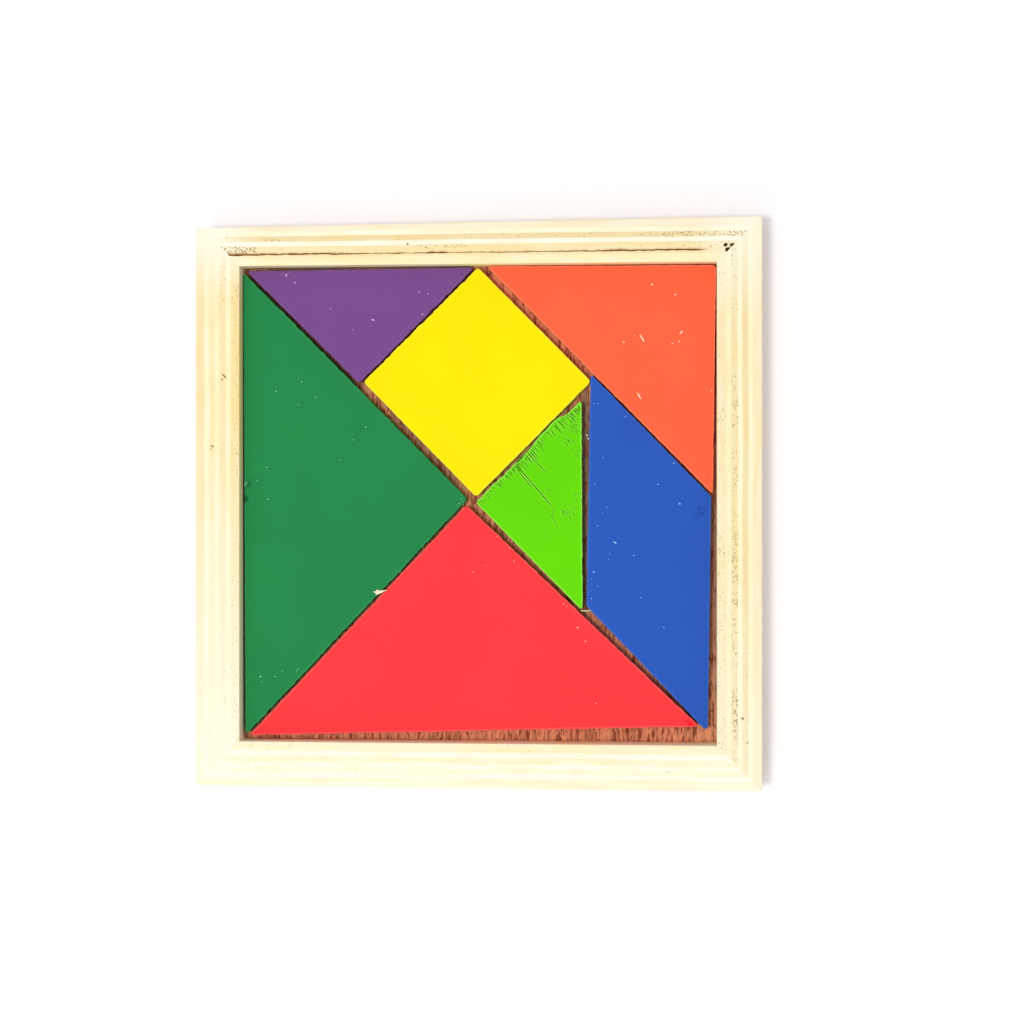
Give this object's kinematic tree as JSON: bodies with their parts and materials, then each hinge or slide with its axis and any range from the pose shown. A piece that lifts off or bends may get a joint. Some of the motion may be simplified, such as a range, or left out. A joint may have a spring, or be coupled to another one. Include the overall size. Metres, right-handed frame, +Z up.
{
  "type": "tangram puzzle",
  "caption": "Tangram of painted wooden triangles, a square and a parallelogram, laid as a square in a shallow tray with a mitred plywood rim.",
  "frame": {"origin": "middle of the tray's underside", "axes": "+Z up out of the tray, +X to the right and +Y to the back with the puzzle seen from above as laid out"},
  "size_m": [0.1154, 0.1154, 0.009],
  "materials": {
    "base_veneer": "red-brown wood veneer, smooth",
    "plywood": "bare plywood on edge, sanded",
    "green_paint": "gloss paint on wood",
    "red_paint": "gloss paint on wood",
    "orange_paint": "gloss paint on wood",
    "purple_paint": "gloss paint on wood",
    "lime_paint": "gloss paint on wood",
    "yellow_paint": "gloss paint on wood",
    "blue_paint": "gloss paint on wood"
  },
  "bodies": {
    "root": {"base_panel": "base_veneer", "frame_strip_back": "plywood", "frame_strip_left": "plywood", "frame_strip_front": "plywood", "frame_strip_right": "plywood", "large_triangle_green": "green_paint", "large_triangle_red": "red_paint", "medium_triangle_orange": "orange_paint", "small_triangle_purple": "purple_paint", "small_triangle_lime": "lime_paint", "square_yellow": "yellow_paint", "parallelogram_blue": "blue_paint"}
  },
  "joints": []
}
